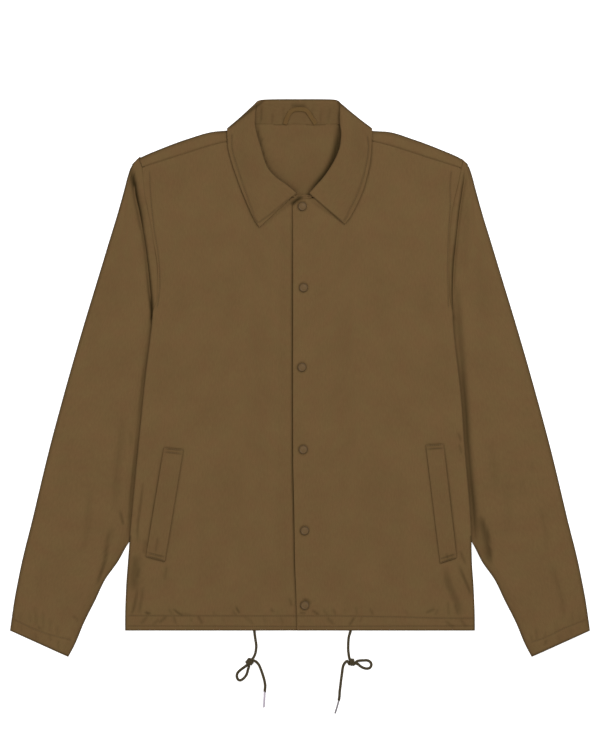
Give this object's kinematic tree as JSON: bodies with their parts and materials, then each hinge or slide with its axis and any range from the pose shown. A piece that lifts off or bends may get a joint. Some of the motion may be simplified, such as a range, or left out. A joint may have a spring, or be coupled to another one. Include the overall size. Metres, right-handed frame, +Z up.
{
  "type": "coach jacket",
  "caption": "Coach jacket laid flat: shirt collar, snap front placket, slanted welt pockets and a hem drawcord.",
  "frame": {"origin": "on the surface the jacket lies on, under the middle of its box measured without the drawcord", "axes": "+Z up out of the front, +Y from hem to collar, +X to the wearer's left"},
  "size_m": [0.8298, 0.8775, 0.0086],
  "materials": {
    "cloth": "plain woven nylon shell, soft matt with a faint sheen",
    "tape": "narrow self-coloured tape",
    "snap": "enamelled pressed cap, satin",
    "cord": "braided round cord, matt",
    "tip": "clear heat-shrunk cord tip"
  },
  "bodies": {
    "root": {"back": "cloth", "front_left": "cloth", "front_right": "cloth", "sleeve_left": "cloth", "sleeve_right": "cloth", "collar": "cloth", "hanger_loop": "tape", "pocket_welt_left": "cloth", "pocket_welt_right": "cloth", "snap_1": "snap", "snap_2": "snap", "snap_3": "snap", "snap_4": "snap", "snap_5": "snap", "snap_6": "snap", "cord_right_stem": "cord", "cord_right_loop": "cord", "cord_right_tail": "cord", "cord_right_tip": "tip", "cord_right_knot": "cord", "cord_left_stem": "cord", "cord_left_loop": "cord", "cord_left_tail": "cord", "cord_left_tip": "tip", "cord_left_knot": "cord"}
  },
  "joints": []
}
